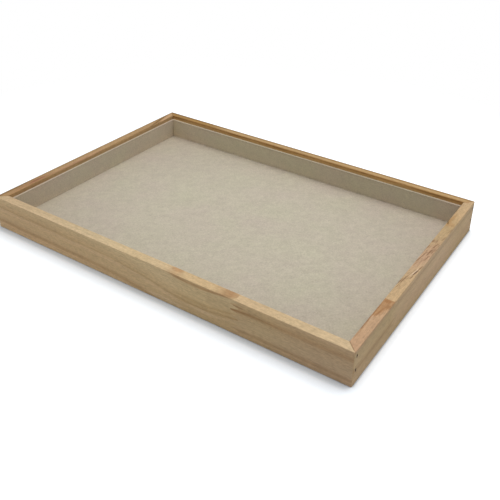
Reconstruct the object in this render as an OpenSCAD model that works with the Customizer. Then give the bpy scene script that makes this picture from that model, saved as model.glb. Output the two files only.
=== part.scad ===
// Velvet-lined wooden display tray.
// Four mitred pine rails carry a base panel that is let in from below. Velvet-covered
// cards line the rails, and a velvet-covered pad drops in between them.
// The tray rests on z = 0 with its centre on the origin. The front rail is at -Y,
// the right rail at +X. All sizes are in millimetres.

/* [Tray] */
// Outside length of the tray, along X
tray_length = 350; // [300:5:420]
// Outside width of the tray, along Y
tray_width = 240; // [180:5:320]
// Height of the rails
tray_height = 30; // [26:1:45]

/* [Rails] */
// Thickness of the rails
rail_thickness = 8; // [7:0.5:12]
// Radius of the rails' eased long edges
edge_radius = 0.5; // [0.2:0.1:1]
// Radius that the frame's upright corners are sanded to
corner_radius = 1; // [0.8:0.1:3]

/* [Finger joints] */
// Place of the front rail's joint, from the left end
front_joint_at = 255.5; // [60:0.5:280]
// Place of the right rail's joint, from the near end
right_joint_at = 63.5; // [30:0.5:150]
// Distance from one finger to the next
finger_pitch = 5; // [3:0.5:8]
// Length of the fingers
finger_length = 7; // [4:0.5:12]
// Width of each finger's blunt tip
finger_tip = 0.8; // [0.4:0.1:1.2]
// Height of the lowest tip above the rails' lower edges
first_tip_height = 1.25; // [0:0.25:3]

/* [Brads] */
// Thickness of the flat wire that the brads are made of
brad_thickness = 1; // [0.8:0.1:1.3]
// Width of that wire
brad_width = 1.2; // [0.9:0.1:1.4]
// Length of the brads' T-shaped heads, across the wire's thickness
brad_head_length = 2.2; // [1.8:0.1:2.6]
// Thickness of the heads
brad_head_thickness = 0.6; // [0.4:0.1:0.8]

/* [Corner brads] */
// Length of the corner brads
corner_brad_length = 25; // [16:1:32]
// Depth of their heads below the rail's face
corner_brad_recess = 1.2; // [0.5:0.1:2]
// Distance from the rim to the upper brad
upper_brad_drop = 5.5; // [4:0.5:8]
// Distance from the upper brad to the lower one
brad_spacing = 12; // [8:0.5:13]

/* [Base panel] */
// Thickness of the base panel
panel_thickness = 2.7; // [2:0.1:4]
// Height of the panel's underside above the rails' lower edges
panel_recess = 0.3; // [0.1:0.1:1]
// Width of the rebate that the panel sits in
rebate_width = 4; // [3:0.5:5]
// Gap all round the panel's edge
panel_clearance = 0.2; // [0.1:0.1:0.5]

/* [Base brads] */
// Length of the base brads
base_brad_length = 10; // [8:0.5:11]
// Depth of their heads in the panel's underside
base_brad_recess = 0.2; // [0:0.1:0.4]
// Brads along the front rail and along the back rail
long_side_brads = 4; // [2:1:8]
// Brads along the left rail and along the right rail
short_side_brads = 3; // [2:1:6]
// Distance from the tray's end to the nearest base brad
brad_end_distance = 32; // [30:1:60]

/* [Velvet] */
// Thickness of the velvet
velvet_thickness = 0.3; // [0.2:0.1:0.8]

/* [Lining] */
// Distance from the rim to the lining's top edge
lining_drop = 3.6; // [1:0.1:8]
// Radius of the lining's upper edges
lining_edge_radius = 0.5; // [0.3:0.1:0.6]
// Thickness of the lining cards
lining_card_thickness = 1; // [1:0.5:3]
// Width of the velvet turned in behind each card, at its long edges and its ends
lining_turn_in = 5; // [3:0.5:6]
// Gap at each end of a lining strip
strip_end_gap = 0.1; // [0.1:0.1:0.5]

/* [Pad] */
// Thickness of the pad's board
pad_board_thickness = 2; // [1.5:0.5:3]
// Thickness of the pad's foam
pad_foam_thickness = 1.2; // [1:0.1:4]
// Gap between the pad and the lining
pad_side_gap = 0.1; // [0.1:0.1:1]
// Gap between the pad and the base panel
pad_seat_gap = 0.2; // [0.1:0.1:0.3]
// Radius of the pad's upper edges
pad_edge_radius = 0.3; // [0.2:0.1:0.6]
// Width of the velvet turned in under the board
pad_turn_in = 15; // [10:1:25]

/* [Hidden] */

// Cutting tools reach this far past the faces that they cut
overshoot = 1;
// Gap between a driven brad and the sides of its hole
brad_clearance = 0.02;
// Facets of a full turn of the eased edges and corners
edge_facets = 32;

panel_top = panel_recess + panel_thickness;
rebate_depth = panel_top;
inner_length = tray_length - 2 * rail_thickness;
inner_width = tray_width - 2 * rail_thickness;
panel_length = inner_length + 2 * (rebate_width - panel_clearance);
panel_width = inner_width + 2 * (rebate_width - panel_clearance);

upper_brad_z = tray_height - upper_brad_drop;
lower_brad_z = upper_brad_z - brad_spacing;
brad_y = tray_width / 2 - rail_thickness / 2;
base_brad_inset = rail_thickness - rebate_width / 2;
base_brad_z = panel_recess + base_brad_recess;

strip_thickness = lining_card_thickness + 2 * velvet_thickness;
strip_height = tray_height - lining_drop - panel_top;
card_height = strip_height - 2 * velvet_thickness;
window_height = strip_height - 2 * lining_turn_in;
long_strip_length = inner_length - 2 * strip_end_gap;
short_strip_length = inner_width - 2 * strip_thickness - 2 * strip_end_gap;

pad_length = inner_length - 2 * strip_thickness - 2 * pad_side_gap;
pad_width = inner_width - 2 * strip_thickness - 2 * pad_side_gap;
pad_bottom = panel_top + pad_seat_gap;
board_bottom = pad_bottom + velvet_thickness;
foam_bottom = board_bottom + pad_board_thickness;
pad_top = foam_bottom + pad_foam_thickness + velvet_thickness;
board_length = pad_length - 2 * velvet_thickness;
board_width = pad_width - 2 * velvet_thickness;

// Colours of the finished surfaces
pine_straw = "#CDB48B";
pine_buff = "#C6A87E";
pine_pink = "#C39E78";
pine_honey = "#B8925F";
steel_grey = "#8C8C88";
plywood_tan = "#C2A77C";
card_grey = "#9A948A";
foam_white = "#DDD8CC";
velvet_beige = "#BCB2A0";

// What an eased edge takes off a square corner at the origin
module corner_waste(radius) {
    difference() {
        translate([-overshoot, -overshoot])
            square(radius + overshoot);
        translate([radius, radius])
            circle(r = radius, $fn = edge_facets);
    }
}

// Upright box outline with a rounded edge at each top corner
module round_topped(width, height, radius) {
    difference() {
        square([width, height]);
        translate([0, height])
            mirror([0, 1])
                corner_waste(radius);
        translate([width, height])
            rotate(180)
                corner_waste(radius);
    }
}

// Cross-section of a rail: outer face at x = 0, inner face at x = rail_thickness
module rail_section() {
    difference() {
        round_topped(rail_thickness, tray_height, edge_radius);
        corner_waste(edge_radius);
        translate([rail_thickness - rebate_width, -overshoot])
            square([rebate_width + overshoot, rebate_depth + overshoot]);
    }
}

// Pulls a cross-section out along X, with its own x along Y and its own y along Z
module along_x(length) {
    translate([-length / 2, 0, 0])
        rotate([90, 0, 90])
            linear_extrude(length)
                children();
}

// Space that a rail of this length keeps when both ends are mitred
module mitre_space(length) {
    outer_x = length / 2 + overshoot;
    inner_x = length / 2 - rail_thickness - overshoot;
    translate([0, 0, -overshoot])
        linear_extrude(tray_height + 2 * overshoot)
            polygon([
                [-outer_x, -overshoot],
                [outer_x, -overshoot],
                [inner_x, rail_thickness + overshoot],
                [-inner_x, rail_thickness + overshoot]
            ]);
}

// Upright corner of the frame, sanded round, with its edges eased like the rails'
module sanded_corner() {
    intersection() {
        rotate_extrude($fn = edge_facets)
            difference() {
                square([corner_radius, tray_height]);
                translate([corner_radius, tray_height])
                    rotate(180)
                        corner_waste(edge_radius);
                translate([corner_radius, 0])
                    mirror([1, 0])
                        corner_waste(edge_radius);
            }
        translate([0, -corner_radius - overshoot, -overshoot])
            cube([
                corner_radius + overshoot,
                corner_radius + overshoot,
                tray_height + 2 * overshoot
            ]);
    }
}

// One mitred rail along X, outer face on y = 0, inner face towards +Y
module rail(length) {
    straight_length = length - 2 * corner_radius;
    intersection() {
        union() {
            along_x(straight_length) rail_section();
            for (end = [0, 1])
                mirror([end, 0, 0])
                    translate([straight_length / 2, corner_radius, 0])
                        sanded_corner();
        }
        mitre_space(length);
    }
}

// Points up a finger joint's zigzag, with x across the joint and y up the rail
finger_count = ceil(tray_height / finger_pitch) + 1;
function tip_corners(x, height) = [
    [x, height - finger_tip / 2],
    [x, height + finger_tip / 2]
];
function finger_outline() = [
    for (i = [-1:finger_count])
        for (corner = concat(
            tip_corners(-finger_length / 2, first_tip_height + i * finger_pitch),
            tip_corners(finger_length / 2, first_tip_height + (i + 1 / 2) * finger_pitch)
        ))
            corner
];

// Everything of a rail on the -X side of its finger joint
module before_joint(length, joint_at) {
    far_x = -joint_at - overshoot;
    low_z = -2 * finger_pitch;
    high_z = (finger_count + 2) * finger_pitch;
    translate([joint_at - length / 2, rail_thickness + overshoot, 0])
        rotate([90, 0, 0])
            linear_extrude(rail_thickness + 2 * overshoot)
                polygon(concat(
                    [[far_x, high_z], [far_x, low_z], [-finger_length / 2, low_z]],
                    finger_outline(),
                    [[finger_length / 2, high_z]]
                ));
}

// First stave of a rail, up to its finger joint
module first_stave(length, joint_at) {
    intersection() {
        rail(length);
        before_joint(length, joint_at);
    }
}

// Second stave of a rail, past its finger joint
module second_stave(length, joint_at) {
    difference() {
        rail(length);
        before_joint(length, joint_at);
    }
}

// Places of the four rails: x along each rail runs anticlockwise seen from above
module at_front() {
    translate([0, -tray_width / 2, 0]) children();
}
module at_right() {
    translate([tray_length / 2, 0, 0]) rotate(90) children();
}
module at_back() {
    translate([0, tray_width / 2, 0]) rotate(180) children();
}
module at_left() {
    translate([-tray_length / 2, 0, 0]) rotate(-90) children();
}

// Upright bar centred on the origin in x and y, from one height to another
module centred_bar(size_x, size_y, low_z, high_z) {
    translate([-size_x / 2, -size_y / 2, low_z])
        cube([size_x, size_y, high_z - low_z]);
}

// T-headed brad driven towards -Z, with its head's outer face on z = 0
module brad(length) {
    centred_bar(brad_head_length, brad_width, -brad_head_thickness, 0);
    centred_bar(brad_thickness, brad_width, -length, -brad_head_thickness);
}

// Hole that such a brad makes with its head at this depth below the surface
module brad_hole(length, depth) {
    hole_width = brad_width + 2 * brad_clearance;
    head_hole_length = brad_head_length + 2 * brad_clearance;
    wire_hole_thickness = brad_thickness + 2 * brad_clearance;
    centred_bar(head_hole_length, hole_width, -brad_head_thickness, depth + overshoot);
    centred_bar(wire_hole_thickness, hole_width, -length - brad_clearance, 0);
}

// Places of the corner brads, driven through the short rails into the long ones
module at_corner_brads() {
    for (side = [-1, 1], end = [-1, 1], brad_z = [lower_brad_z, upper_brad_z])
        translate([side * (tray_length / 2 - corner_brad_recess), end * brad_y, brad_z])
            rotate([0, side * 90, 0])
                children();
}

// Evenly spaced places along a side, kept clear of its ends
function spaced(side_length, count) = [
    for (i = [0:count - 1])
        (side_length / 2 - brad_end_distance) * (2 * i / (count - 1) - 1)
];

// Places of the base brads, driven up through the panel into the rails, heads along the rails
module at_base_brads() {
    for (side = [-1, 1], x = spaced(tray_length, long_side_brads))
        translate([x, side * (tray_width / 2 - base_brad_inset), base_brad_z])
            rotate([180, 0, 0])
                children();
    for (side = [-1, 1], y = spaced(tray_width, short_side_brads))
        translate([side * (tray_length / 2 - base_brad_inset), y, base_brad_z])
            rotate([180, 0, 90])
                children();
}

// All holes that the brads make
module brad_holes() {
    at_corner_brads() brad_hole(corner_brad_length, corner_brad_recess);
    at_base_brads() brad_hole(base_brad_length, base_brad_z);
}

module front_rail_left_stave() {
    color(pine_buff)
        difference() {
            at_front() first_stave(tray_length, front_joint_at);
            brad_holes();
        }
}

module front_rail_right_stave() {
    color(pine_straw)
        difference() {
            at_front() second_stave(tray_length, front_joint_at);
            brad_holes();
        }
}

module right_rail_near_stave() {
    color(pine_pink)
        difference() {
            at_right() first_stave(tray_width, right_joint_at);
            brad_holes();
        }
}

module right_rail_far_stave() {
    color(pine_straw)
        difference() {
            at_right() second_stave(tray_width, right_joint_at);
            brad_holes();
        }
}

module back_rail() {
    color(pine_honey)
        difference() {
            at_back() rail(tray_length);
            brad_holes();
        }
}

module left_rail() {
    color(pine_buff)
        difference() {
            at_left() rail(tray_width);
            brad_holes();
        }
}

module corner_brads() {
    color(steel_grey)
        at_corner_brads() brad(corner_brad_length);
}

module base_panel() {
    color(plywood_tan)
        difference() {
            translate([-panel_length / 2, -panel_width / 2, panel_recess])
                cube([panel_length, panel_width, panel_thickness]);
            at_base_brads() brad_hole(base_brad_length, base_brad_z);
        }
}

module base_brads() {
    color(steel_grey)
        at_base_brads() brad(base_brad_length);
}

// Cross-section of a lining card, in the strip's own outline
module card_section() {
    translate([velvet_thickness, velvet_thickness])
        square([lining_card_thickness, card_height]);
}

// Cross-section of the window that the turned-in velvet leaves bare in a strip's back, at x = 0
module window_section() {
    translate([-overshoot, lining_turn_in])
        square([velvet_thickness + overshoot, window_height]);
}

// Stands a lining strip on the base panel against its rail
module against_rail() {
    translate([0, rail_thickness, panel_top]) children();
}

// Card of a lining strip of this length, with room for the velvet round its ends
module lining_card(strip_length) {
    color(card_grey)
        against_rail()
            along_x(strip_length - 2 * velvet_thickness)
                card_section();
}

// Velvet of a lining strip of this length, wrapped round its card on all sides
module lining_velvet(strip_length) {
    color(velvet_beige)
        against_rail()
            difference() {
                along_x(strip_length)
                    round_topped(strip_thickness, strip_height, lining_edge_radius);
                along_x(strip_length - 2 * velvet_thickness)
                    card_section();
                along_x(strip_length - 2 * lining_turn_in)
                    window_section();
            }
}

module front_lining_card() {
    at_front() lining_card(long_strip_length);
}
module back_lining_card() {
    at_back() lining_card(long_strip_length);
}
module left_lining_card() {
    at_left() lining_card(short_strip_length);
}
module right_lining_card() {
    at_right() lining_card(short_strip_length);
}

module front_lining_velvet() {
    at_front() lining_velvet(long_strip_length);
}
module back_lining_velvet() {
    at_back() lining_velvet(long_strip_length);
}
module left_lining_velvet() {
    at_left() lining_velvet(short_strip_length);
}
module right_lining_velvet() {
    at_right() lining_velvet(short_strip_length);
}

// Flat layer of the pad, as large as its board
module pad_layer(bottom, thickness) {
    translate([-board_length / 2, -board_width / 2, bottom])
        cube([board_length, board_width, thickness]);
}

module pad_board() {
    color(card_grey)
        pad_layer(board_bottom, pad_board_thickness);
}

module pad_foam() {
    color(foam_white)
        pad_layer(foam_bottom, pad_foam_thickness);
}

// Whole outside of the pad, with its four top edges rounded
module pad_outside() {
    pad_height = pad_top - pad_bottom;
    translate([0, 0, pad_bottom])
        intersection() {
            translate([0, -pad_width / 2, 0])
                along_x(pad_length)
                    round_topped(pad_width, pad_height, pad_edge_radius);
            rotate(90)
                translate([0, -pad_length / 2, 0])
                    along_x(pad_width)
                        round_topped(pad_length, pad_height, pad_edge_radius);
        }
}

module pad_velvet() {
    window_length = pad_length - 2 * pad_turn_in;
    window_width = pad_width - 2 * pad_turn_in;
    color(velvet_beige)
        difference() {
            pad_outside();
            pad_layer(board_bottom, pad_board_thickness + pad_foam_thickness);
            translate([-window_length / 2, -window_width / 2, pad_bottom - overshoot])
                cube([window_length, window_width, velvet_thickness + 2 * overshoot]);
        }
}

front_rail_left_stave();
front_rail_right_stave();
right_rail_near_stave();
right_rail_far_stave();
back_rail();
left_rail();
corner_brads();
base_panel();
base_brads();
front_lining_card();
back_lining_card();
left_lining_card();
right_lining_card();
front_lining_velvet();
back_lining_velvet();
left_lining_velvet();
right_lining_velvet();
pad_board();
pad_foam();
pad_velvet();
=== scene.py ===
"""Finishes, fabric and studio for a velvet-lined pine display tray."""

import math

import bmesh
import bpy
from mathutils import Matrix, Vector


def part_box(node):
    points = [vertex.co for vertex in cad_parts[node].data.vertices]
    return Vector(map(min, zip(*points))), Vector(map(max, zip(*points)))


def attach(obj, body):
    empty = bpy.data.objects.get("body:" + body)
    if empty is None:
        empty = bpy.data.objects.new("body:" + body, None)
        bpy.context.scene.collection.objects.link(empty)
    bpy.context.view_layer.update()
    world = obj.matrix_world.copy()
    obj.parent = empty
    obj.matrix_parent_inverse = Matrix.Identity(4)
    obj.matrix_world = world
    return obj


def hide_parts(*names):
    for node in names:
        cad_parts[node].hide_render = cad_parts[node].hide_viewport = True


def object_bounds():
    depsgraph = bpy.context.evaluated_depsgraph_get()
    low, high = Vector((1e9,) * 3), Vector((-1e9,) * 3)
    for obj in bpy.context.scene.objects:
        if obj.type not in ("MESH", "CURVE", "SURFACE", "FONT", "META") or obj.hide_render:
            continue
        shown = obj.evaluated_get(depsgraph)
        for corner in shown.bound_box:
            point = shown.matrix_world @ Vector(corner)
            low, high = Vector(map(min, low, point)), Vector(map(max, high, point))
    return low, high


MM = 0.001
PER_MM = 1 / MM

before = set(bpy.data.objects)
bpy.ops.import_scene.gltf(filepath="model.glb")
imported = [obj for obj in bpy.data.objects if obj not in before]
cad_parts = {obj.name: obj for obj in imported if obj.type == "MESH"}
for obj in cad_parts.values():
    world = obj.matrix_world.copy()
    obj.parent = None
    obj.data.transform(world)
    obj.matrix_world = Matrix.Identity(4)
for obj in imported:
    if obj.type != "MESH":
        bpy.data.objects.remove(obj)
CAD_LOW, CAD_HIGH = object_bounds()

# The tray's own sizes in millimetres, read off the frame
HALF_LENGTH = CAD_HIGH.x / MM
HALF_WIDTH = CAD_HIGH.y / MM
RIM = CAD_HIGH.z / MM
LENGTH = 2 * HALF_LENGTH
WIDTH = 2 * HALF_WIDTH


# Camera

PICTURE_PX = 500
SENSOR_MM = 36
# Solved from the tray's edges in the photograph: where the lens is, in metres, where it
# looks, in degrees, and the pixel that its axis meets
CAMERA_PLACE = (0.30939, -0.44751, 0.33797)
CAMERA_AZIMUTH = 31.955
CAMERA_ELEVATION = 27.108
CAMERA_ROLL = 1.799
FOCAL_LENGTH_PX = 705.06
LENS_AXIS_PX = (268.1, 170.0)
# The nearest thing that it shows, in metres
NEAREST = 0.01


def set_camera():
    """The photograph's viewpoint."""
    data = bpy.data.cameras.new("camera")
    data.sensor_width = SENSOR_MM
    data.lens = FOCAL_LENGTH_PX / PICTURE_PX * SENSOR_MM
    data.shift_x = 0.5 - LENS_AXIS_PX[0] / PICTURE_PX
    data.shift_y = LENS_AXIS_PX[1] / PICTURE_PX - 0.5
    data.clip_start = NEAREST
    camera = bpy.data.objects.new("camera", data)
    bpy.context.scene.collection.objects.link(camera)
    camera.matrix_world = (
        Matrix.Translation(CAMERA_PLACE)
        @ Matrix.Rotation(math.radians(CAMERA_AZIMUTH), 4, "Z")
        @ Matrix.Rotation(math.radians(90 - CAMERA_ELEVATION), 4, "X")
        @ Matrix.Rotation(math.radians(CAMERA_ROLL), 4, "Z")
    )
    bpy.context.scene.camera = camera


# Node trees

# Sockets of a colour Mix node, which share their names with its other kinds
MIX_FACTOR, MIX_A, MIX_B, MIX_RESULT = 0, 6, 7, 2
# Sockets of a Map Range node
FROM_MIN, FROM_MAX, TO_MIN, TO_MAX = 1, 2, 3, 4
# Light goes as about this power of an sRGB value
EYE_POWER = 2.2


def linear(hex_colour):
    """An sRGB hex colour as linear red, green, blue and alpha, by the standard's curve."""
    parts = [int(hex_colour[i:i + 2], 16) / 255 for i in (1, 3, 5)]
    return [c / 12.92 if c <= 0.04045 else ((c + 0.055) / 1.055) ** 2.4 for c in parts] + [1.0]


def add(tree, kind, sockets=None, stops=None, out=None, **settings):
    """Adds a node and returns it, or the output that out names. sockets maps its inputs to
    other nodes' outputs or to values, and stops are a colour ramp's (place, colour) pairs."""
    node = tree.nodes.new("ShaderNode" + kind)
    for name, value in settings.items():
        setattr(node, name, value)
    for name, value in (sockets or {}).items():
        if isinstance(value, bpy.types.NodeSocket):
            tree.links.new(value, node.inputs[name])
        else:
            node.inputs[name].default_value = value
    for i, (place, colour) in enumerate(stops or []):
        elements = node.color_ramp.elements
        element = elements[i] if i < 2 else elements.new(place)
        element.position = place
        element.color = colour
    return node if out is None else node.outputs[out]


def new_material(name):
    """An empty node material, its tree, and its surface shader."""
    material = bpy.data.materials.new(name)
    material.use_nodes = True
    tree = material.node_tree
    return material, tree, tree.nodes["Principled BSDF"]


def in_millimetres(tree):
    """The place on the tray, in millimetres."""
    place = add(tree, "TexCoord", out="Object")
    return add(tree, "VectorMath", {0: place, "Scale": PER_MM}, out=0, operation="SCALE")


def mottle(tree, point, size, seed, detail=2.0, rough=0.5):
    """A cloudy pattern from 0 to 1 on a point in millimetres, whose patches are as long as
    size gives along each axis."""
    scaled = add(tree, "VectorMath", {0: point, 1: [1 / s for s in size]}, out=0,
                 operation="MULTIPLY")
    return add(tree, "TexNoise",
               {"Vector": scaled, "W": seed, "Scale": 1.0, "Detail": detail, "Roughness": rough},
               out="Fac", noise_dimensions="4D")


def tone_stops(tones, full):
    """Colour ramp stops from tones (place, red, green, blue), whose places run from 0 to
    full, and whose colours are in per cent as the eye reads them."""
    return [(at / full, [(c / 100) ** EYE_POWER for c in colour] + [1.0])
            for at, *colour in tones]


def toned(tree, colour, place, tones, full, share=1.0):
    """Multiplies a colour by the tones that it takes at places from 0 to full."""
    at = add(tree, "Math", {0: place, 1: full}, out=0, operation="DIVIDE")
    tone = add(tree, "ValToRGB", {"Fac": at}, out="Color", stops=tone_stops(tones, full))
    return add(tree, "Mix", {MIX_FACTOR: share, MIX_A: colour, MIX_B: tone}, out=MIX_RESULT,
               data_type="RGBA", blend_type="MULTIPLY")


def layered(tree, base, layers):
    """The base value plus each layer's pattern times its weight, counted from the pattern's
    middle, so that the layers leave the average as it is."""
    total = base - sum(weight for _, weight in layers) / 2
    for pattern, weight in layers:
        total = add(tree, "Math", {0: pattern, 1: weight, 2: total}, out=0,
                    operation="MULTIPLY_ADD")
    return total


# Pine

# What turns a point in metres into (along the rail, inward from its outer face, down from
# the rim) in millimetres, on each side. Front and back count from the tray's left end,
# right and left from its near end.
QUARTER_TURN = math.radians(90)
SIDES = {
    "front": {
        "Location": (HALF_LENGTH, HALF_WIDTH, RIM),
        "Rotation": (0, 0, 0),
        "Scale": (PER_MM, PER_MM, -PER_MM),
    },
    "back": {
        "Location": (HALF_LENGTH, HALF_WIDTH, RIM),
        "Rotation": (0, 0, 0),
        "Scale": (PER_MM, -PER_MM, -PER_MM),
    },
    "right": {
        "Location": (HALF_WIDTH, HALF_LENGTH, RIM),
        "Rotation": (0, 0, -QUARTER_TURN),
        "Scale": (PER_MM, PER_MM, -PER_MM),
    },
    "left": {
        "Location": (HALF_WIDTH, HALF_LENGTH, RIM),
        "Rotation": (0, 0, QUARTER_TURN),
        "Scale": (PER_MM, -PER_MM, -PER_MM),
    },
}
SIDE_LENGTHS = {"front": LENGTH, "back": LENGTH, "right": WIDTH, "left": WIDTH}

# Growth rings

# Ring distances that the colour ramps of the wood cover
RING_LOW, RING_HIGH = -26.0, 34.0
# What the falling bell of a swell is a power of
BELL_BASE = 1 / math.e
# The rings' slow waver and fine ripple: their size in mm, and how far each moves a ring
# whose waver is 1
WAVER_SIZE, WAVER_REACH = (38, 9, 7), 4
RIPPLE_SIZE, RIPPLE_REACH = (9, 3, 3), 1.2
# Where a ring's line turns, as shares of its half width, and its strength there. Late wood
# darkens slowly and ends sharply.
LINE_SHAPE = [(-1.0, 0.0), (-0.1, 1.0), (0.3, 1.0), (0.9, 0.0)]
# Late wood comes and goes along its ring: the size of its stretches in mm, the values of
# their pattern at which it is faint and full, and how strong the faint ones are
LATE_SIZE = (30, 12, 3)
LATE_FAINT, LATE_FULL, LATE_LEAST = 0.3, 0.62, 0.5

# Marks on the wood

# Depths below the rim at which its own tone has ended, and is full
RIM_END, RIM_FULL = 0.7, 0.15
# The fibres that make a streak's edge ragged, in mm, where the edge ends, as a share of its
# half size, and how much of that they move it
STREAK_FIBRE = (9, 0.7, 0.7)
STREAK_END, STREAK_RAGGED = 1.45, 0.9
# Torn grain: the size of its scores in mm, the values of their pattern at which they start
# and are full, and the share of its half size up to which it is full
SCORE_SIZE = (7, 0.55, 0.9)
SCORE_START, SCORE_FULL = 0.54, 0.66
TORN_FULL = 0.6
# Half the size of a brad's hole along the rail, inward, where it is far longer than the
# wood is thick, and down from the rim
HOLE_HALF_SIZE = (0.75, 30, 1.25)
# How far the darkening of a hole reaches, and where it is full, as shares of that size. It is
# painted shade in the hole and an iron-tannin stain round its mouth.
HOLE_DARK_END, HOLE_DARK_FULL = 1.5, 0.9
HOLE_SHADE_AND_STAIN = "#33231A"
# Where the brads go into the ends of the right and left rails: from the rail's end, and
# down from the rim
BRAD_ALONG = 4
BRAD_DEPTHS = (5.5, 17.5)
# The glue's line in a mitre: how far along the rail it reaches, and how strong it is. It
# starts, and is full, this far inward, because sanding has cleaned the outer corners.
GLUE_REACH, GLUE_STRENGTH = 0.8, 0.85
GLUE_START, GLUE_FULL = 0.6, 2.0
GLUE_BROWN = "#7A5A38"

# Fibres and surface

# Sizes in mm of the patterns that shade every stave, and how much they do: bundles of
# fibres a millimetre wide that the eye reads as grain, fibres, the flecks between them, and
# broad patches. A fibre is a thirtieth of a millimetre wide, and is drawn about fifteen
# times as coarse, to show.
BUNDLE_SIZE, BUNDLE_SHADE = (26, 1.5, 1.3), 0.44
FIBRE_SIZE, FIBRE_SHADE = (7, 0.5, 0.45), 0.56
FLECK_SIZE, FLECK_SHADE = (2.2, 1.7, 0.9), 0.52
BROAD_SIZE, BROAD_SHADE = (60, 8, 6), 0.2
# Resin canals, short dark scores a sixth of a millimetre wide, which are drawn about twice
# as coarse, to show: their size in mm, the values of their pattern at which they start and
# are full, and how strong they are
CANAL_SIZE = (4.5, 0.4, 0.4)
CANAL_START, CANAL_FULL, CANAL_STRENGTH = 0.68, 0.78, 0.4
CANAL_BROWN = "#6E4A2A"
# The sanded surface: its gloss, its roughness, and how much the fibres change that
PINE_GLOSS, PINE_ROUGHNESS, FIBRE_ROUGHNESS = 0.25, 0.68, 0.16
# How much fibres, bundles, canals and late wood raise it, and how deep that goes in metres
FIBRE_RELIEF, BUNDLE_RELIEF, CANAL_RELIEF, LATE_RELIEF = 0.6, 0.5, -1.0, 0.4
PINE_BUMP, PINE_BUMP_DEPTH = 0.35, 0.12 * MM


def ring_stops(colours):
    """Colour ramp stops from (ring distance in mm, hex colour, strength)."""
    return [((place - RING_LOW) / (RING_HIGH - RING_LOW), linear(colour)[:3] + [strength])
            for place, colour, strength in colours]


def line_stops(lines):
    """Ramp stops that rise to each growth ring's line and fall again. A line is (ring
    distance, half width, colour, strength)."""
    return ring_stops([(place + share * half_width, colour, level * strength)
                       for place, half_width, colour, strength in lines
                       for share, level in LINE_SHAPE])


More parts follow.
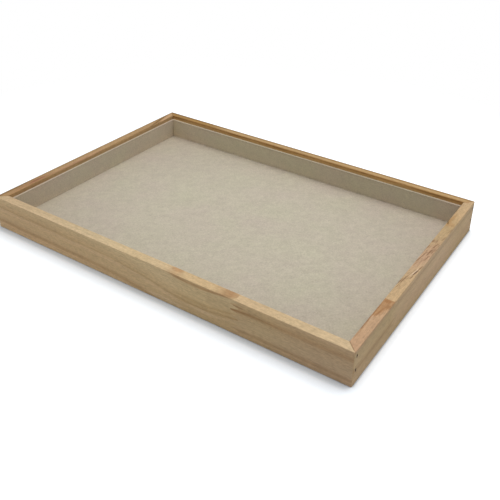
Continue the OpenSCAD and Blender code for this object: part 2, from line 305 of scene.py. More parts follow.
class Stave:
    """Sanded pine of one stave, matt and pale with darker late wood. Places and sizes in it
    are (along the rail, inward, down from the rim) in millimetres."""

    def __init__(self, name, side, seed):
        self.material, self.tree, self.surface = new_material(name)
        # Each of its patterns adds a number of its own, up to 7, to this
        self.seed = seed
        self.side_length = SIDE_LENGTHS[side]
        place = add(self.tree, "TexCoord", out="Object")
        self.point = add(self.tree, "Mapping", {"Vector": place, **SIDES[side]}, out=0)
        parts = add(self.tree, "SeparateXYZ", {0: self.point})
        self.along, self.inward, self.depth = parts.outputs
        self.late_wood = 0.0

    def mixed(self, factor, colour):
        """Mixes another colour into the wood's own."""
        self.colour = add(self.tree, "Mix",
                          {MIX_FACTOR: factor, MIX_A: self.colour, MIX_B: colour},
                          out=MIX_RESULT, data_type="RGBA")

    def rings(self, start, slope=0.0, inward=0.0, depth=1.0, swells=(), waver=0.5):
        """Distance across the growth rings, in mm, from the ring that lies at start below
        the rim. Each swell (centre, half length, height) pushes the rings down."""
        tree = self.tree
        across = add(tree, "VectorMath", {0: self.point, 1: (-slope, inward, depth)},
                     out="Value", operation="DOT_PRODUCT")
        for centre, half_length, height in swells:
            offset = add(tree, "Math", {0: self.along, 1: 1 / half_length,
                                        2: -centre / half_length},
                         out=0, operation="MULTIPLY_ADD")
            square = add(tree, "Math", {0: offset, 1: offset}, out=0, operation="MULTIPLY")
            bell = add(tree, "Math", {0: BELL_BASE, 1: square}, out=0, operation="POWER")
            across = add(tree, "Math", {0: bell, 1: -height, 2: across}, out=0,
                         operation="MULTIPLY_ADD")
        wave = mottle(tree, self.point, WAVER_SIZE, self.seed)
        ripple = mottle(tree, self.point, RIPPLE_SIZE, self.seed + 0.5)
        across = add(tree, "Math", {0: across, 1: start}, out=0, operation="SUBTRACT")
        moved = layered(tree, 0.0, [(wave, WAVER_REACH * waver),
                                    (ripple, RIPPLE_REACH * waver)])
        place = add(tree, "Math", {0: across, 1: moved}, out=0, operation="ADD")
        self.ring_place = add(tree, "MapRange",
                              {"Value": place, FROM_MIN: RING_LOW, FROM_MAX: RING_HIGH}, out=0)

    def body(self, colours):
        """Slow colours of the wood between its dark lines, as (ring distance, colour)."""
        self.colour = add(self.tree, "ValToRGB", {"Fac": self.ring_place}, out="Color",
                          stops=ring_stops([(p, c, 1.0) for p, c in colours]))

    def lines(self, lines, fade=None):
        """Lines of dark late wood. They are faint at the first place of fade, along the
        rail, and full at the second."""
        tree = self.tree
        ramp = add(tree, "ValToRGB", {"Fac": self.ring_place}, stops=line_stops(lines))
        patchy = mottle(tree, self.point, LATE_SIZE, self.seed + 1)
        presence = add(tree, "MapRange", {"Value": patchy, FROM_MIN: LATE_FAINT,
                                          FROM_MAX: LATE_FULL, TO_MIN: LATE_LEAST}, out=0)
        factor = add(tree, "Math", {0: ramp.outputs["Alpha"], 1: presence}, out=0,
                     operation="MULTIPLY")
        if fade:
            shown = add(tree, "MapRange", {"Value": self.along, FROM_MIN: fade[0],
                                           FROM_MAX: fade[1]}, out=0,
                        interpolation_type="SMOOTHSTEP")
            factor = add(tree, "Math", {0: factor, 1: shown}, out=0, operation="MULTIPLY")
        self.mixed(factor, ramp.outputs["Color"])
        self.late_wood = add(tree, "Math", {0: self.late_wood, 1: factor}, out=0,
                             operation="MAXIMUM")

    def streak(self, centre, half_size, colour, strength, skew=0.0, soft=0.5):
        """Lays a lens-shaped streak of another colour into the wood, as strong as strength
        in its middle. Skew is in degrees, positive where the streak runs inward, and soft is
        how much of its half size its edge takes."""
        tree = self.tree
        local = add(tree, "Mapping", {"Vector": self.point, "Location": centre,
                                      "Rotation": (0, 0, math.radians(skew)),
                                      "Scale": half_size},
                    out=0, vector_type="TEXTURE")
        reach = add(tree, "VectorMath", {0: local}, out="Value", operation="LENGTH")
        ragged = mottle(tree, self.point, STREAK_FIBRE, self.seed + 2)
        edge = layered(tree, STREAK_RAGGED / 2, [(ragged, STREAK_RAGGED)])
        edge = add(tree, "Math", {0: edge, 1: reach}, out=0, operation="ADD")
        factor = add(tree, "MapRange", {"Value": edge, FROM_MIN: STREAK_END,
                                        FROM_MAX: STREAK_END - soft, TO_MAX: strength},
                     out=0, interpolation_type="SMOOTHSTEP")
        self.mixed(factor, linear(colour))

    def torn_grain(self, centre, half_size, colour, strength, skew):
        """Fine dark scores, slanted by skew degrees, where a blunt cutter tore the fibres."""
        tree = self.tree
        turned = add(tree, "Mapping", {"Vector": self.point,
                                       "Rotation": (0, 0, math.radians(skew))},
                     out=0, vector_type="TEXTURE")
        scores = mottle(tree, turned, SCORE_SIZE, self.seed + 7, detail=1.0)
        local = add(tree, "Mapping", {"Vector": self.point, "Location": centre,
                                      "Scale": half_size}, out=0, vector_type="TEXTURE")
        reach = add(tree, "VectorMath", {0: local}, out="Value", operation="LENGTH")
        zone = add(tree, "MapRange", {"Value": reach, FROM_MIN: 1.0, FROM_MAX: TORN_FULL},
                   out=0, interpolation_type="SMOOTHSTEP")
        dark = add(tree, "MapRange", {"Value": scores, FROM_MIN: SCORE_START,
                                      FROM_MAX: SCORE_FULL, TO_MAX: strength}, out=0)
        factor = add(tree, "Math", {0: dark, 1: zone}, out=0, operation="MULTIPLY")
        self.mixed(factor, linear(colour))

    def tone_along(self, tones, rim_only=False):
        """Multiplies the colour by tones that change slowly along the rail, or only on its
        rim."""
        share = 1.0
        if rim_only:
            share = add(self.tree, "MapRange", {"Value": self.depth, FROM_MIN: RIM_END,
                                                FROM_MAX: RIM_FULL}, out=0)
        self.colour = toned(self.tree, self.colour, self.along, tones, self.side_length, share)

    def brad_hole_shade_and_stain(self, *ends):
        """The holes of the brads at these places along the rail, darkened by painted shade in the
        holes and by a stain where iron and tannin have blackened the wood round them."""
        tree = self.tree
        for along in ends:
            for depth in BRAD_DEPTHS:
                local = add(tree, "Mapping",
                            {"Vector": self.point, "Location": (along, 0, depth),
                             "Scale": HOLE_HALF_SIZE},
                            out=0, vector_type="TEXTURE")
                reach = add(tree, "VectorMath", {0: local}, out="Value", operation="LENGTH")
                black = add(tree, "MapRange", {"Value": reach, FROM_MIN: HOLE_DARK_END,
                                               FROM_MAX: HOLE_DARK_FULL}, out=0)
                self.mixed(black, linear(HOLE_SHADE_AND_STAIN))

    def glue_in_mitres(self):
        """A thin dark line along both mitres."""
        tree = self.tree
        from_start = add(tree, "Math", {0: self.along, 1: self.inward}, out=0,
                         operation="SUBTRACT")
        from_end = add(tree, "Math", {0: self.along, 1: self.inward}, out=0, operation="ADD")
        from_end = add(tree, "Math", {0: self.side_length, 1: from_end}, out=0,
                       operation="SUBTRACT")
        nearest = add(tree, "Math", {0: from_start, 1: from_end}, out=0, operation="MINIMUM")
        strength = add(tree, "MapRange", {"Value": self.inward, FROM_MIN: GLUE_START,
                                          FROM_MAX: GLUE_FULL, TO_MAX: GLUE_STRENGTH}, out=0)
        glue = add(tree, "MapRange", {"Value": nearest, FROM_MIN: GLUE_REACH, FROM_MAX: 0.0,
                                      TO_MAX: strength}, out=0)
        self.mixed(glue, linear(GLUE_BROWN))

    def finish(self):
        """Fibres, resin canals and the sanded surface, which all staves share."""
        tree = self.tree
        self.glue_in_mitres()
        bundles = mottle(tree, self.point, BUNDLE_SIZE, self.seed + 3, detail=3.0, rough=0.6)
        fibres = mottle(tree, self.point, FIBRE_SIZE, self.seed + 4)
        flecks = mottle(tree, self.point, FLECK_SIZE, self.seed + 4.5)
        broad = mottle(tree, self.point, BROAD_SIZE, self.seed + 5)
        tone = layered(tree, 1.0, [(bundles, BUNDLE_SHADE), (fibres, FIBRE_SHADE),
                                   (flecks, FLECK_SHADE), (broad, BROAD_SHADE)])
        shaded = add(tree, "VectorMath", {0: self.colour, "Scale": tone}, out=0,
                     operation="SCALE")
        canals = mottle(tree, self.point, CANAL_SIZE, self.seed + 6, detail=0.0)
        scored = add(tree, "MapRange", {"Value": canals, FROM_MIN: CANAL_START,
                                        FROM_MAX: CANAL_FULL, TO_MAX: CANAL_STRENGTH},
                     out=0, interpolation_type="SMOOTHSTEP")
        colour = add(tree, "Mix",
                     {MIX_FACTOR: scored, MIX_A: shaded, MIX_B: linear(CANAL_BROWN)},
                     out=MIX_RESULT, data_type="RGBA")
        rough = layered(tree, PINE_ROUGHNESS, [(fibres, FIBRE_ROUGHNESS)])
        relief = layered(tree, 0.5, [(fibres, FIBRE_RELIEF), (bundles, BUNDLE_RELIEF),
                                     (scored, CANAL_RELIEF)])
        relief = add(tree, "Math", {0: self.late_wood, 1: LATE_RELIEF, 2: relief}, out=0,
                     operation="MULTIPLY_ADD")
        bump = add(tree, "Bump", {"Height": relief, "Strength": PINE_BUMP,
                                  "Distance": PINE_BUMP_DEPTH}, out=0)
        tree.links.new(colour, self.surface.inputs["Base Color"])
        tree.links.new(rough, self.surface.inputs["Roughness"])
        tree.links.new(bump, self.surface.inputs["Normal"])
        self.surface.inputs["Specular IOR Level"].default_value = PINE_GLOSS
        return self.material


def front_left_pine():
    """Flat-sawn pine. Its rings dip under a knot that lay above the rim."""
    wood = Stave("pine_front_left", "front", seed=1.0)
    wood.rings(8.5, slope=0.012, swells=[(218, 48, 9.9)])
    wood.body([(-22, "#CAAC82"), (-16, "#CAB18A"), (-10, "#CFB68D"), (-5, "#C9AE85"),
               (-2.5, "#C6AA81"), (2.5, "#CDB089"), (6, "#C7AB82"), (10, "#C8AC84"),
               (13, "#C4A67E"), (16.5, "#D1B289"), (19, "#D6B78D"), (28, "#D0B38B")])
    wood.lines([(0, 1.7, "#A08052", 0.45), (13.9, 2.4, "#A07C54", 0.45)])
    wood.lines([(-18.6, 1.9, "#9A6C40", 0.7)], fade=(190, 203))
    wood.lines([(-4.2, 1.7, "#A48252", 0.5), (-0.9, 1.4, "#9C7A4C", 0.4)], fade=(188, 222))
    wood.tone_along([(20, 99.8, 98.6, 97.3), (100, 99.5, 99, 97.3), (170, 100, 100.3, 99),
                     (195, 99.8, 100, 99), (212, 97.2, 97.2, 94.5), (255, 97, 97, 95)])
    wood.tone_along([(8, 93.2, 92.8, 95), (60, 94.3, 94.6, 97), (115, 96.5, 97.5, 100.5),
                     (165, 100, 99.3, 99.5), (205, 103.3, 103.5, 105.5),
                     (235, 103, 103, 104.6)], rim_only=True)
    # A painted highlight along the rim's outer edge
    wood.streak((82, 1.2, 0), (78, 1.7, 0.6), "#DCBF98", 0.4)
    wood.streak((199.5, 6.4, 0), (7, 3.6, 0.9), "#AE8054", 0.55)
    wood.streak((252.5, 5.6, 0), (7, 4.4, 0.9), "#A87A50", 0.42)
    # Towards the joint the face is darker above its rings and paler below them
    wood.streak((242, 0, 9), (17, 2, 6.5), "#B89E76", 0.4)
    wood.streak((226, 0, 22.5), (20, 2, 2.0), "#DCC29C", 0.3)
    wood.streak((190, 0, 26.8), (24, 2, 2.4), "#DCC29C", 0.35)
    return wood.finish()


def front_right_pine():
    """Paler flat-sawn pine with two straight dark rings."""
    wood = Stave("pine_front_right", "front", seed=11.0)
    wood.rings(7.2, swells=[(246, 16, 1.5)], waver=0.35)
    wood.body([(-9, "#C9AD82"), (-6, "#BDA27A"), (-2.5, "#BA9E75"), (-0.5, "#B2936A"),
               (1.2, "#B2946B"), (2.8, "#BAA079"), (10, "#BBA37E"), (13, "#C0A781"),
               (15.5, "#BEA47F"), (17.5, "#AD906B"), (19.5, "#BEA27B"), (26, "#B99D7A")])
    wood.lines([(0.2, 1.2, "#8A6238", 0.7)], fade=(312, 262))
    wood.tone_along([(256, 100.3, 99.5, 98.9), (272, 99.9, 99.7, 98.7), (284, 99.5, 99.2, 98.5),
                     (298, 97.9, 97.1, 97.8), (320, 97.4, 96.2, 98.4), (350, 95.7, 94.4, 97.3)])
    wood.tone_along([(256, 103.6, 104.3, 107.5), (272, 104.6, 105.2, 109),
                     (284, 105.4, 106.6, 110.2), (300, 107.7, 110.1, 112.2),
                     (320, 108, 110.9, 112.2), (350, 109.4, 112.7, 114.2)], rim_only=True)
    wood.streak((258, 0, 4.7), (7, 2, 0.9), "#8C6840", 0.6)
    wood.streak((322, 0, 4.6), (30, 2, 2.8), "#A88C66", 0.35)
    return wood.finish()


def right_near_pine():
    """Pinkish pine that darkens to a brown wedge at its joint."""
    wood = Stave("pine_right_near", "right", seed=21.0)
    wood.rings(0.0)
    wood.body([(-2, "#B69472"), (0.6, "#AE8D69"), (2, "#AB8F6B"), (4, "#AD946D"),
               (8, "#AE956F"), (13, "#B69B74"), (17.5, "#A88B65"), (22, "#B29671"),
               (26, "#B59975"), (30, "#B49A78")])
    wood.lines([(17.5, 2.0, "#8C6C46", 0.3)])
    wood.tone_along([(4, 100, 100, 99.5), (35, 99.8, 100, 98), (63, 99.6, 100, 97)])
    wood.tone_along([(4, 107, 106, 110), (40, 108.3, 108.5, 114), (63, 108.5, 109, 113)],
                    rim_only=True)
    wood.streak((64, 8, 0), (28, 9.8, 2), "#AC8258", 0.9, soft=0.3)
    wood.streak((46, 4.7, 0), (10, 1.0, 1.2), "#9C7048", 0.75, skew=-9)
    wood.streak((55, 1.6, 0), (3, 3.4, 1.2), "#9C724A", 0.6)
    wood.streak((61, 4.6, 0), (3, 3.4, 1.2), "#96683C", 0.6)
    wood.streak((43, 8, 0), (24, 1.6, 1.2), "#98704A", 0.85)
    wood.streak((25, 7.4, 0), (2, 1.2, 1.2), "#84664A", 0.6)
    wood.streak((38, 6.4, 0), (4, 1.0, 1.2), "#CCAE90", 0.5)
    wood.streak((24, 7.0, 0), (17, 0.9, 1.0), "#9C7856", 0.55)
    wood.brad_hole_shade_and_stain(BRAD_ALONG)
    return wood.finish()


def right_far_pine():
    """Yellowish pine with torn grain and slanting bands on its upper edge."""
    wood = Stave("pine_right_far", "right", seed=31.0)
    wood.rings(0.0)
    wood.body([(-4, "#C6A881"), (0.6, "#BD9E78"), (2, "#B69C76"), (5, "#AF9472"),
               (9, "#BAA07B"), (13, "#B99E7B"), (18, "#B79B78"), (23, "#B69A77"),
               (28, "#B0966E")])
    wood.lines([(5, 1.8, "#957A58", 0.3)])
    wood.tone_along([(64, 98.3, 98, 95.5), (100, 99.3, 98.5, 97.5), (165, 101, 100.5, 101),
                     (200, 97.3, 96.7, 93), (240, 96.3, 95, 91)])
    wood.tone_along([(64, 104.2, 105, 106), (95, 100.2, 102, 103), (130, 101, 101, 106),
                     (160, 96, 97.5, 95), (182, 94.5, 96, 93.5), (205, 103.2, 103.8, 105),
                     (232, 105.5, 108, 112.5)], rim_only=True)
    wood.streak((134, 4, 0), (30, 4.6, 2.5), "#B28A6E", 0.35, skew=-6)
    # Torn grain: thin dark scores, which all slant to the edge by this many degrees
    slant = -7
    for along, inward, half_length, half_width, colour, strength in [
        (86, 7.7, 10, 0.6, "#765638", 0.8),
        (84, 6.4, 7, 0.4, "#8A6A48", 0.5),
        (91.5, 5.8, 5.5, 0.6, "#765638", 0.8),
        (100, 4.9, 6, 0.5, "#8A6C4C", 0.5),
        (98, 2.1, 3.5, 0.6, "#765638", 0.7),
        (105, 1.8, 6, 0.65, "#553820", 0.95),
        (107, 3.7, 5, 0.5, "#8A6A4A", 0.5),
        (113, 1.0, 4.5, 0.6, "#7C5E40", 0.7),
        (117, 6.5, 5, 0.5, "#8E6A48", 0.5),
        (124, 6.9, 6, 0.75, "#80603E", 0.75),
        (128, 2.2, 7, 0.6, "#86603E", 0.65),
        (134.5, 5.6, 5.5, 0.6, "#80603E", 0.7),
        (138, 3.2, 8, 0.65, "#775432", 0.75),
        (142, 1.7, 5.5, 2.0, "#8C6E50", 0.5),
        (144, 7.2, 6, 0.6, "#86603E", 0.6),
        (149, 2.8, 6, 0.5, "#775432", 0.75),
        (155.5, 6.8, 3.6, 1.6, "#7E5C3E", 0.58),
        (156, 4.5, 3.6, 1.0, "#86644A", 0.5),
        (163, 1.0, 5, 0.9, "#86684A", 0.55),
        (178, 0.8, 5, 0.7, "#8E6E50", 0.45),
    ]:
        wood.streak((along, inward, 0), (half_length, half_width, 1.2), colour, strength, slant)
    wood.streak((105, 2.9, 0), (9, 0.6, 0.8), "#DCC6AC", 0.5, slant)
    wood.streak((197, 6.3, 0), (15, 1.8, 1.5), "#A87E48", 0.6, skew=-3)
    wood.streak((188, 4.4, 0), (5, 5.0, 1.5), "#B08656", 0.5)
    wood.streak((190, 7.0, 0), (3.2, 1.1, 1.2), "#74582C", 0.75, skew=12)
    wood.streak((212, 7.9, 0), (22, 0.6, 1.2), "#7A5630", 0.6)
    wood.streak((235, 6, 0), (3.4, 3.5, 1.2), "#B4804E", 0.5)
    wood.torn_grain((92, 5.5, 0), (20, 4, 2), "#74522E", 0.6, slant)
    wood.torn_grain((140, 4, 0), (27, 5, 2), "#75502F", 0.65, slant)
    wood.brad_hole_shade_and_stain(WIDTH - BRAD_ALONG)
    return wood.finish()


def back_pine():
    """Honey pine, quarter-sawn on top, with a dark stretch at its left end."""
    wood = Stave("pine_back", "back", seed=41.0)
    wood.rings(0.0, inward=1.0, depth=0.35)
    wood.body([(-2, "#AA8452"), (2, "#A67E4C"), (4, "#C29E6E"), (6, "#BE9866"),
               (7.5, "#A0763F"), (8.4, "#B68C55"), (9, "#C09A65"), (14, "#BE9C6B"),
               (30, "#B69062")])
    wood.lines([(1.7, 1.3, "#8E6634", 0.4), (7.7, 0.9, "#7E5426", 0.62),
                (12, 1.6, "#94693C", 0.4), (20, 1.6, "#94693C", 0.5)])
    wood.tone_along([(3, 81.5, 78, 64), (58, 82.5, 80, 67.5), (78, 93, 95, 96),
                     (350, 96.5, 98, 98)], rim_only=True)
    return wood.finish()


def left_pine():
    """Buff pine with a reddish stretch near the front."""
    wood = Stave("pine_left", "left", seed=51.0)
    wood.rings(0.0, inward=1.0, depth=0.4)
    wood.body([(-2, "#B6966E"), (3, "#AC8A60"), (8, "#B49266"), (20, "#B4946E"), (30, "#B29268")])
    wood.lines([(1.6, 1.3, "#8A6A3E", 0.6), (7.2, 1.1, "#8A6238", 0.72),
                (15, 1.8, "#946C42", 0.6)])
    wood.tone_along([(8, 95, 94, 93), (42, 93, 91, 90), (58, 97.5, 98, 98), (240, 97.5, 98, 98)])
    wood.streak((15, 1.4, 0), (24, 2.2, 2), "#80623A", 0.8)
    wood.streak((38, 5.4, 0), (30, 2.6, 2), "#9A7050", 0.6)
    wood.streak((43, 4.8, 0), (13, 1.6, 2), "#84553A", 0.7)
    wood.streak((92, 6.6, 0), (42, 2.6, 2), "#B48A6C", 0.45)
    wood.streak((20, 7.2, 0), (16, 1.2, 1.5), "#B08A60", 0.6)
    wood.streak((223, 5.4, 0), (16, 2.4, 1.5), "#C49C74", 0.7, skew=-11)
    wood.streak((213, 4.2, 0), (24, 1.6, 1.5), "#7C5C30", 0.95, skew=-11)
    wood.brad_hole_shade_and_stain(BRAD_ALONG, WIDTH - BRAD_ALONG)
    return wood.finish()


# Other hard materials, and the foam

# Sizes in mm of the veneer's figure and of its fibres, which are drawn about ten times as
# coarse as they are, to show
FIGURE_SIZE = (120, 16, 30)
VENEER_FIBRE_SIZE = (14, 0.4, 0.4)
# Times that the peeling knife crossed the same rings over the range of the figure
VENEER_FLAMES = 34.0
# Sizes in mm of the flecks in the card's pulp, and of the stains on the wire
PULP_SIZE = (1.6, 1.6, 1.6)
WIRE_STAIN_SIZE = (0.8, 0.8, 0.8)
# Width of the foam's cells in mm
FOAM_CELL = 0.7
# How deep the relief of veneer and card goes, and that of foam, in metres
SHEET_BUMP_DEPTH, FOAM_BUMP_DEPTH = 0.1 * MM, 0.2 * MM


def plywood():
    """Rotary-cut veneer on the base panel's faces."""
    material, tree, surface = new_material("plywood_rotary_veneer")
    point = in_millimetres(tree)
    # Wide flames, where the peeling knife crossed the same rings again and again
    figure = mottle(tree, point, FIGURE_SIZE, seed=61.0, detail=3.0)
    figure = add(tree, "Math", {0: figure, 1: VENEER_FLAMES}, out=0, operation="MULTIPLY")
    flames = add(tree, "Math", {0: figure, 1: 1.0}, out=0, operation="PINGPONG")
    fibres = mottle(tree, point, VENEER_FIBRE_SIZE, seed=62.0)
    tone = layered(tree, 0.5, [(fibres, 0.35), (flames, 0.5)])
    colour = add(tree, "ValToRGB", {"Fac": tone}, out=0,
                 stops=[(0.05, linear("#B8986A")), (0.75, linear("#CFB68C"))])
    bump = add(tree, "Bump", {"Height": tone, "Strength": 0.3, "Distance": SHEET_BUMP_DEPTH},
               out=0)
    tree.links.new(colour, surface.inputs["Base Color"])
    tree.links.new(bump, surface.inputs["Normal"])
    surface.inputs["Roughness"].default_value = 0.62
    return material


def greyboard():
    """Uncoated grey card: pulp with pale and dark flecks."""
    material, tree, surface = new_material("greyboard_pulp")
    flecks = mottle(tree, in_millimetres(tree), PULP_SIZE, seed=71.0, detail=4.0, rough=0.7)
    colour = add(tree, "ValToRGB", {"Fac": flecks}, out=0,
                 stops=[(0.3, linear("#857F75")), (0.7, linear("#ADA79C"))])
    bump = add(tree, "Bump", {"Height": flecks, "Strength": 0.3, "Distance": SHEET_BUMP_DEPTH},
               out=0)
    tree.links.new(colour, surface.inputs["Base Color"])
    tree.links.new(bump, surface.inputs["Normal"])
    surface.inputs["Roughness"].default_value = 0.9
    return material


def steel_wire():
    """Drawn steel wire, blackened by the wood's tannin."""
    material, tree, surface = new_material("steel_drawn_wire")
    stain = mottle(tree, in_millimetres(tree), WIRE_STAIN_SIZE, seed=81.0, detail=3.0)
    colour = add(tree, "ValToRGB", {"Fac": stain}, out=0,
                 stops=[(0.35, linear("#1C1510")), (0.7, linear("#38322C"))])
    rough = layered(tree, 0.5, [(stain, 0.3)])
    tree.links.new(colour, surface.inputs["Base Color"])
    tree.links.new(rough, surface.inputs["Roughness"])
    surface.inputs["Metallic"].default_value = 1.0
    # The stain leaves no gloss, not even at a low angle
    surface.inputs["Specular Tint"].default_value = linear("#6E5A4A")
    return material


def open_cell_foam():
    """Thin open-cell foam sheet, pitted where its cells were cut."""
    material, tree, surface = new_material("foam_open_cell")
    place = add(tree, "TexCoord", out="Object")
    cells = add(tree, "TexVoronoi", {"Vector": place, "Scale": PER_MM / FOAM_CELL},
                out="Distance")
    colour = add(tree, "ValToRGB", {"Fac": cells}, out=0,
                 stops=[(0.0, linear("#C8C2B2")), (0.6, linear("#E4DFD2"))])
    bump = add(tree, "Bump", {"Height": cells, "Strength": 0.6, "Distance": FOAM_BUMP_DEPTH},
               out=0)
    tree.links.new(colour, surface.inputs["Base Color"])
    tree.links.new(bump, surface.inputs["Normal"])
    surface.inputs["Roughness"].default_value = 0.95
    return material


# Velvet

# Painted shade on the pad's velvet, darker and warmer towards its edges: its tones by the
# distance from its middle, as a share of an oval of this half length and half width in mm, and
# the distance at which they end
PAD_REACH = (165, 125)
PAD_SHADE_TONES = [(0.5, 100.3, 101.1, 102.4), (0.73, 99, 99.5, 100.8), (0.91, 97.3, 97.1, 99),
             (1.2, 95.7, 95.2, 96)]
PAD_SHADE_END = 1.4
# Painted light and shade on the lining's velvet, paler towards its foot and darker towards its
# top edge: its tones by its height in mm
LINING_LIGHT_TONES = [(7, 108.5, 108, 107.5), (9, 105.5, 105, 104.5), (11, 104, 103.8, 103),
                (13, 102.3, 102, 101.5), (15, 101, 101, 100.5), (19, 100, 100, 99.5),
                (23, 99.5, 98.5, 98), (25, 97, 95.5, 95), (25.8, 93.5, 92, 92),
                (26.4, 99, 98, 98.5)]
# Painted light on the back strip, paler towards its ends and most of all the left: its tones in
# mm from the tray's left end
BACK_LIGHT_TONES = [(10, 109.5, 108, 106), (25, 107, 106, 104.5), (55, 104.5, 104.5, 103),
              (115, 103.7, 103.7, 101.7), (175, 101.5, 101.5, 99.7), (235, 100.3, 100.7, 98.4),
              (308, 100.4, 101, 99.6), (328, 104.5, 102.5, 102.3)]
# Tones of the left strip, in mm from the tray's near end
LEFT_TONES = [(42, 100.9, 98.7, 99.2), (72, 99.7, 99.3, 99.8), (120, 99.2, 98.9, 99),
              (150, 99, 97.7, 98.4), (180, 98.8, 97, 96.8), (198, 100.2, 98.5, 98.9),
              (216, 99.6, 97.6, 97.7)]
# How strongly hands have brushed the pile of the pad, and of the lining
PAD_BRUSHING, LINING_BRUSHING = 0.34, 0.21
# The nap leans one way, so its streaks run slantwise across the tray
NAP_LEAN = math.radians(-42)
# Sizes in mm of the velvet's patterns: patches of another warmth, brushed places, strokes
# of a hand, the nap and its tufts. The pile is a third of a millimetre. The last two are
# drawn two to five times as coarse, to show.
PATCH_SIZE = (42, 42, 42)
BRUSHED_SIZE = (5.6, 5, 5)
STROKE_SIZE = (15, 4, 9)
NAP_SIZE = (1.45, 1.4, 1.2)
TUFT_SIZE = (0.8, 0.8, 0.8)
# How much patches and strokes change its warmth
PATCH_WARMTH, STROKE_WARMTH = 1.2, 0.4
# How much nap and tufts shade it, and the strokes as a share of the brushing
NAP_SHADE, TUFT_SHADE, STROKE_SHARE = 0.47, 0.26, 0.25
# How much nap and tufts raise it, and how deep that goes in metres
NAP_RELIEF, TUFT_RELIEF = 0.6, 0.5
VELVET_BUMP_DEPTH = 0.2 * MM


def pad_edge_shade(tree, point, colour):
    """Painted shade: the pad's velvet is darker and warmer towards its edges than in its middle.
    """
    spread = add(tree, "VectorMath", {0: point, 1: [1 / size for size in PAD_REACH] + [0]},
                 out=0, operation="MULTIPLY")
    reach = add(tree, "VectorMath", {0: spread}, out="Value", operation="LENGTH")
    return toned(tree, colour, reach, PAD_SHADE_TONES, PAD_SHADE_END)


def lining_painted_light(tree, point, colour):
    """Painted light and shade: the lining's velvet is paler towards its foot and darker towards
    its top edge.
    """
    height = add(tree, "SeparateXYZ", {0: point}, out="Z")
    return toned(tree, colour, height, LINING_LIGHT_TONES, RIM)


def strip_light_and_tones(tree, point, colour, axis, half, tones):
    """A lining strip: the painted light and shade by height, and tones that change slowly along
    the tray, which reaches half to each side of its middle on this axis."""
    place = add(tree, "SeparateXYZ", {0: point}, out=axis)
    along = add(tree, "Math", {0: place, 1: half}, out=0, operation="ADD")
    return toned(tree, lining_painted_light(tree, point, colour), along, tones, 2 * half)


def back_strip_painted_light(tree, point, colour):
    """Painted light: the back strip is paler towards the tray's left end, and a little towards
    its right end.
    """
    return strip_light_and_tones(tree, point, colour, "X", HALF_LENGTH, BACK_LIGHT_TONES)


def left_strip_tones(tree, point, colour):
    """The left strip's pile is a shade warmer, most of all towards the back."""
    return strip_light_and_tones(tree, point, colour, "Y", HALF_WIDTH, LEFT_TONES)


def velvet(name, brushing, tones_and_painted_light):
    """Short-pile beige velvet: brushed patches, a fine nap, and a soft sheen on its edges. Its
    last argument lays the tones of its place on the tray over its colour, painted light and shade
    among them."""
    material, tree, surface = new_material(name)
    point = in_millimetres(tree)
    leaning = add(tree, "Mapping", {"Vector": point, "Rotation": (0, 0, NAP_LEAN)}, out=0)
    patches = mottle(tree, point, PATCH_SIZE, seed=91.0)
    brushed = mottle(tree, leaning, BRUSHED_SIZE, seed=92.0, detail=3.0, rough=0.6)
    strokes = mottle(tree, leaning, STROKE_SIZE, seed=95.0)
    nap = mottle(tree, leaning, NAP_SIZE, seed=93.0, rough=0.6)
    tufts = mottle(tree, point, TUFT_SIZE, seed=94.0, detail=1.0)
    warmth = layered(tree, 0.5, [(patches, PATCH_WARMTH), (strokes, STROKE_WARMTH)])
    hue = add(tree, "ValToRGB", {"Fac": warmth}, out=0,
              stops=[(0.2, linear("#C0B3A1")), (0.8, linear("#BFB79F"))])
    tone = layered(tree, 1.0, [(brushed, brushing), (strokes, STROKE_SHARE * brushing),
                               (nap, NAP_SHADE), (tufts, TUFT_SHADE)])
    colour = add(tree, "VectorMath", {0: hue, "Scale": tone}, out=0, operation="SCALE")
    colour = tones_and_painted_light(tree, point, colour)
    relief = layered(tree, 0.5, [(nap, NAP_RELIEF), (tufts, TUFT_RELIEF)])
    bump = add(tree, "Bump", {"Height": relief, "Strength": 0.4, "Distance": VELVET_BUMP_DEPTH},
               out=0)
    tree.links.new(colour, surface.inputs["Base Color"])
    tree.links.new(bump, surface.inputs["Normal"])
    surface.inputs["Roughness"].default_value = 0.95
    surface.inputs["Specular IOR Level"].default_value = 0.2
    surface.inputs["Sheen Weight"].default_value = 0.12
    surface.inputs["Sheen Roughness"].default_value = 0.5
    surface.inputs["Sheen Tint"].default_value = linear("#E8DFCB")
    return material


# Fabric pieces

VELVET_THICKNESS = 0.3 * MM
LINING_TURN_IN = 5 * MM
LINING_EDGE_RADIUS = 0.5 * MM
PAD_TURN_IN = 15 * MM
PAD_EDGE_RADIUS = 0.3 * MM
FOAM_EDGE_RADIUS = 0.4 * MM
TURNED_EDGE_SEGMENTS = 4
FOAM_EDGE_SEGMENTS = 3
# Points of a wrap that lie closer than this are one
WELD_DISTANCE = 0.01 * MM
SMOOTH_ANGLE = math.radians(40)
# Two normals look the same way over the first cosine, and stand square under the second
SAME_WAY, SQUARE = 0.9, 0.5


def slab(name, low, high):
    """A box from one corner to the other, alone in the selection and in edit mode."""
    bpy.ops.object.select_all(action="DESELECT")
    bpy.ops.mesh.primitive_cube_add(size=1, location=(low + high) / 2, scale=high - low)
    piece = bpy.context.active_object
    piece.name = name
    piece.data.name = name
    bpy.ops.object.transform_apply(location=True, rotation=True, scale=True)
    bpy.ops.object.mode_set(mode="EDIT")
    return piece


def select(piece, mode, wanted):
    """Selects, in edit mode, the faces or edges for which wanted holds."""
    bpy.ops.mesh.select_mode(type=mode)
    bpy.ops.mesh.select_all(action="DESELECT")
    mesh = bmesh.from_edit_mesh(piece.data)
    for part in (mesh.faces if mode == "FACE" else mesh.edges):
        part.select_set(bool(wanted(part)))
    bmesh.update_edit_mesh(piece.data)


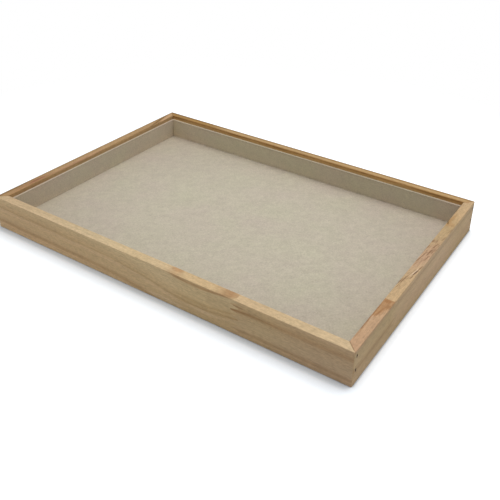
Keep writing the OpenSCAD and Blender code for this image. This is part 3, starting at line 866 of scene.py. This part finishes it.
def wrap_board(name, node, back, turn_in, radius):
    """Velvet wrapped round a board: five faces of its box and a turned-in edge on the face
    that looks along back, left open in the middle."""
    low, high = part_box(node)
    piece = slab(name, low, high)
    select(piece, "FACE", lambda face: face.normal.dot(back) > SAME_WAY)
    bpy.ops.mesh.inset(thickness=turn_in)
    bpy.ops.mesh.delete(type="FACE")
    select(piece, "EDGE", outer_edge(back))
    bpy.ops.mesh.bevel(offset=radius, segments=TURNED_EDGE_SEGMENTS, affect="EDGES")
    bpy.ops.object.mode_set(mode="OBJECT")
    skin = piece.modifiers.new("thickness", "SOLIDIFY")
    skin.thickness = VELVET_THICKNESS
    skin.offset = -1
    bpy.ops.object.modifier_apply(modifier=skin.name)
    bpy.ops.object.mode_set(mode="EDIT")
    bpy.ops.mesh.select_all(action="SELECT")
    bpy.ops.mesh.remove_doubles(threshold=WELD_DISTANCE)
    bpy.ops.object.mode_set(mode="OBJECT")
    bpy.ops.object.shade_smooth_by_angle(angle=SMOOTH_ANGLE)
    return piece


def outer_edge(back):
    """Picks the edges where two of the outer faces meet, none of them on the turned-in side."""
    def wanted(edge):
        faces = edge.link_faces
        if len(faces) < 2:
            return False
        a, b = (face.normal for face in faces)
        return abs(a.dot(b)) < SQUARE and a.dot(back) < SAME_WAY and b.dot(back) < SAME_WAY
    return wanted


def line_the_rails():
    """The four velvet-covered strips that stand against the rails."""
    # Every strip's velvet takes painted light and shade by its height; the back strip's also
    # takes painted light along the tray, and the left strip's takes tones of its own
    fabric = velvet("velvet_lining", LINING_BRUSHING, lining_painted_light)
    toned_strips = {"back": velvet("velvet_back_lining", LINING_BRUSHING, back_strip_painted_light),
            "left": velvet("velvet_left_lining", LINING_BRUSHING, left_strip_tones)}
    backs = {"front": Vector((0, -1, 0)), "back": Vector((0, 1, 0)),
             "left": Vector((-1, 0, 0)), "right": Vector((1, 0, 0))}
    for side, back in backs.items():
        node, card = f"{side}_lining_velvet", f"{side}_lining_card"
        piece = wrap_board(f"{side}_lining_wrap", node, back, LINING_TURN_IN, LINING_EDGE_RADIUS)
        piece.data.materials.append(toned_strips.get(side, fabric))
        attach(piece, "tray")
        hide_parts(node)


def cover_the_pad():
    """The drop-in pad's velvet cover and its foam."""
    node = "pad_velvet"
    down = Vector((0, 0, -1))
    cover = wrap_board("pad_cover", node, down, PAD_TURN_IN, PAD_EDGE_RADIUS)
    cover.data.materials.append(velvet("velvet_pad", PAD_BRUSHING, pad_edge_shade))
    low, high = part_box(node)
    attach(cover, "pad")
    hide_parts(node)

    low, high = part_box("pad_foam")
    middle = (low.z + high.z) / 2
    layer = slab("foam_layer", low, high)
    select(layer, "EDGE", lambda edge: all(corner.co.z > middle for corner in edge.verts))
    bpy.ops.mesh.bevel(offset=FOAM_EDGE_RADIUS, segments=FOAM_EDGE_SEGMENTS, affect="EDGES")
    bpy.ops.object.mode_set(mode="OBJECT")
    bpy.ops.object.shade_smooth_by_angle(angle=SMOOTH_ANGLE)
    layer.data.materials.append(open_cell_foam())
    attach(layer, "pad")
    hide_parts("pad_foam")


# Studio

FLOOR_SIZE = 6.0
# Distances from the middle at which the floor starts to fade, and has faded, to white
FADE_START, FADE_END = 0.30, 0.45
# Shadows where the tray meets the floor: each one's reach, the way its light leans, and
# how much of its red, green and blue it takes
CONTACTS = [(18.7 * MM, (0.65, 0.67, 0.36), (0.305, 0.3, 0.295)),
            (6.4 * MM, (0.39, 0.92, 0.04), (0.57, 0.555, 0.535)),
            (1.6 * MM, (-0.61, -0.59, 0.53), (0.75, 0.75, 0.75))]
# Tint of the paper, over 1 so that it is plain white out of the shadows
PAPER = (1.215, 1.273, 1.335)
# What the paper and the sky are to the lens, and what they send the tray
WHITE = (1, 1, 1, 1)
PAPER_BOUNCE = (0.8, 0.8, 0.8, 1)
SKY_TINT, SKY_STRENGTH = (0.96, 0.98, 1.0, 1), 0.42
# The lamp overhead: its length and width and its place in metres, and its power in watts
LAMP_SIZE = (1.9, 1.7)
LAMP_PLACE = (0.22, 0.26, 2.0)
LAMP_POWER = 30.0


def white_to_the_lens(tree, other, white, output):
    """Shows one shader to the lens and its reflections, and another to the light."""
    rays = add(tree, "LightPath").outputs
    seen = add(tree, "Math", {0: rays["Is Glossy Ray"], 1: rays["Is Transmission Ray"]}, out=0,
               operation="MAXIMUM")
    seen = add(tree, "Math", {0: rays["Is Camera Ray"], 1: seen}, out=0, operation="MAXIMUM")
    both = add(tree, "MixShader", {0: seen, 1: other, 2: white}, out=0)
    add(tree, output, {0: both})


def sweep_floor():
    """White paper that keeps the tray's shadow and fades to plain white round it."""
    bpy.ops.object.select_all(action="DESELECT")
    bpy.ops.mesh.primitive_plane_add(size=FLOOR_SIZE, location=(0, 0, 0))
    floor = bpy.context.active_object
    floor.name = "floor"
    material = bpy.data.materials.new("paper_sweep")
    material.use_nodes = True
    tree = material.node_tree
    tree.nodes.clear()
    tint = PAPER
    for reach, light, taken in CONTACTS:
        lean = add(tree, "CombineXYZ", dict(enumerate(light)), out=0)
        open_sky = add(tree, "AmbientOcclusion", {"Distance": reach, "Normal": lean}, out="AO")
        contact = add(tree, "VectorMath", {0: open_sky, 1: taken, 2: [1 - t for t in taken]},
                      out=0, operation="MULTIPLY_ADD")
        tint = add(tree, "VectorMath", {0: tint, 1: contact}, out=0, operation="MULTIPLY")
    lit = add(tree, "BsdfDiffuse", {"Color": tint}, out=0)
    white = add(tree, "Emission", {"Color": WHITE, "Strength": 1.0}, out=0)
    place = add(tree, "TexCoord", out="Object")
    reach = add(tree, "VectorMath", {0: place}, out="Value", operation="LENGTH")
    away = add(tree, "MapRange", {"Value": reach, FROM_MIN: FADE_START, FROM_MAX: FADE_END},
               out=0, interpolation_type="SMOOTHSTEP")
    shown = add(tree, "MixShader", {0: away, 1: lit, 2: white}, out=0)
    bounce = add(tree, "BsdfDiffuse", {"Color": PAPER_BOUNCE}, out=0)
    white_to_the_lens(tree, bounce, shown, "OutputMaterial")
    floor.data.materials.append(material)


def pale_sky():
    """A dim, even sky that the lens sees as white."""
    world = bpy.data.worlds.new("sky")
    bpy.context.scene.world = world
    world.use_nodes = True
    tree = world.node_tree
    tree.nodes.clear()
    sky = add(tree, "Background", {"Color": SKY_TINT, "Strength": SKY_STRENGTH}, out=0)
    white = add(tree, "Background", {"Color": WHITE, "Strength": 1.0}, out=0)
    white_to_the_lens(tree, sky, white, "OutputWorld")


def soft_box():
    """A large lamp overhead, towards the far right."""
    lamp = bpy.data.lights.new("soft_box", "AREA")
    lamp.shape = "RECTANGLE"
    lamp.size, lamp.size_y = LAMP_SIZE
    lamp.energy = LAMP_POWER
    box = bpy.data.objects.new("soft_box", lamp)
    bpy.context.scene.collection.objects.link(box)
    box.location = LAMP_PLACE
    box.rotation_euler = (-box.location).to_track_quat("-Z", "Y").to_euler()


def finish_hard_parts():
    """The rails, brads, base panel and cards keep their solids and get their materials."""
    wire = steel_wire()
    card = greyboard()
    finishes = {
        "front_rail_left_stave": front_left_pine(),
        "front_rail_right_stave": front_right_pine(),
        "right_rail_near_stave": right_near_pine(),
        "right_rail_far_stave": right_far_pine(),
        "back_rail": back_pine(),
        "left_rail": left_pine(),
        "base_panel": plywood(),
        "corner_brads": wire,
        "base_brads": wire,
        "front_lining_card": card,
        "back_lining_card": card,
        "left_lining_card": card,
        "right_lining_card": card,
        "pad_board": card,
    }
    for name, material in finishes.items():
        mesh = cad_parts[name].data
        mesh.materials.clear()
        mesh.materials.append(material)


bpy.context.scene.view_settings.view_transform = "Standard"
set_camera()
sweep_floor()
pale_sky()
soft_box()
finish_hard_parts()
line_the_rails()
cover_the_pad()
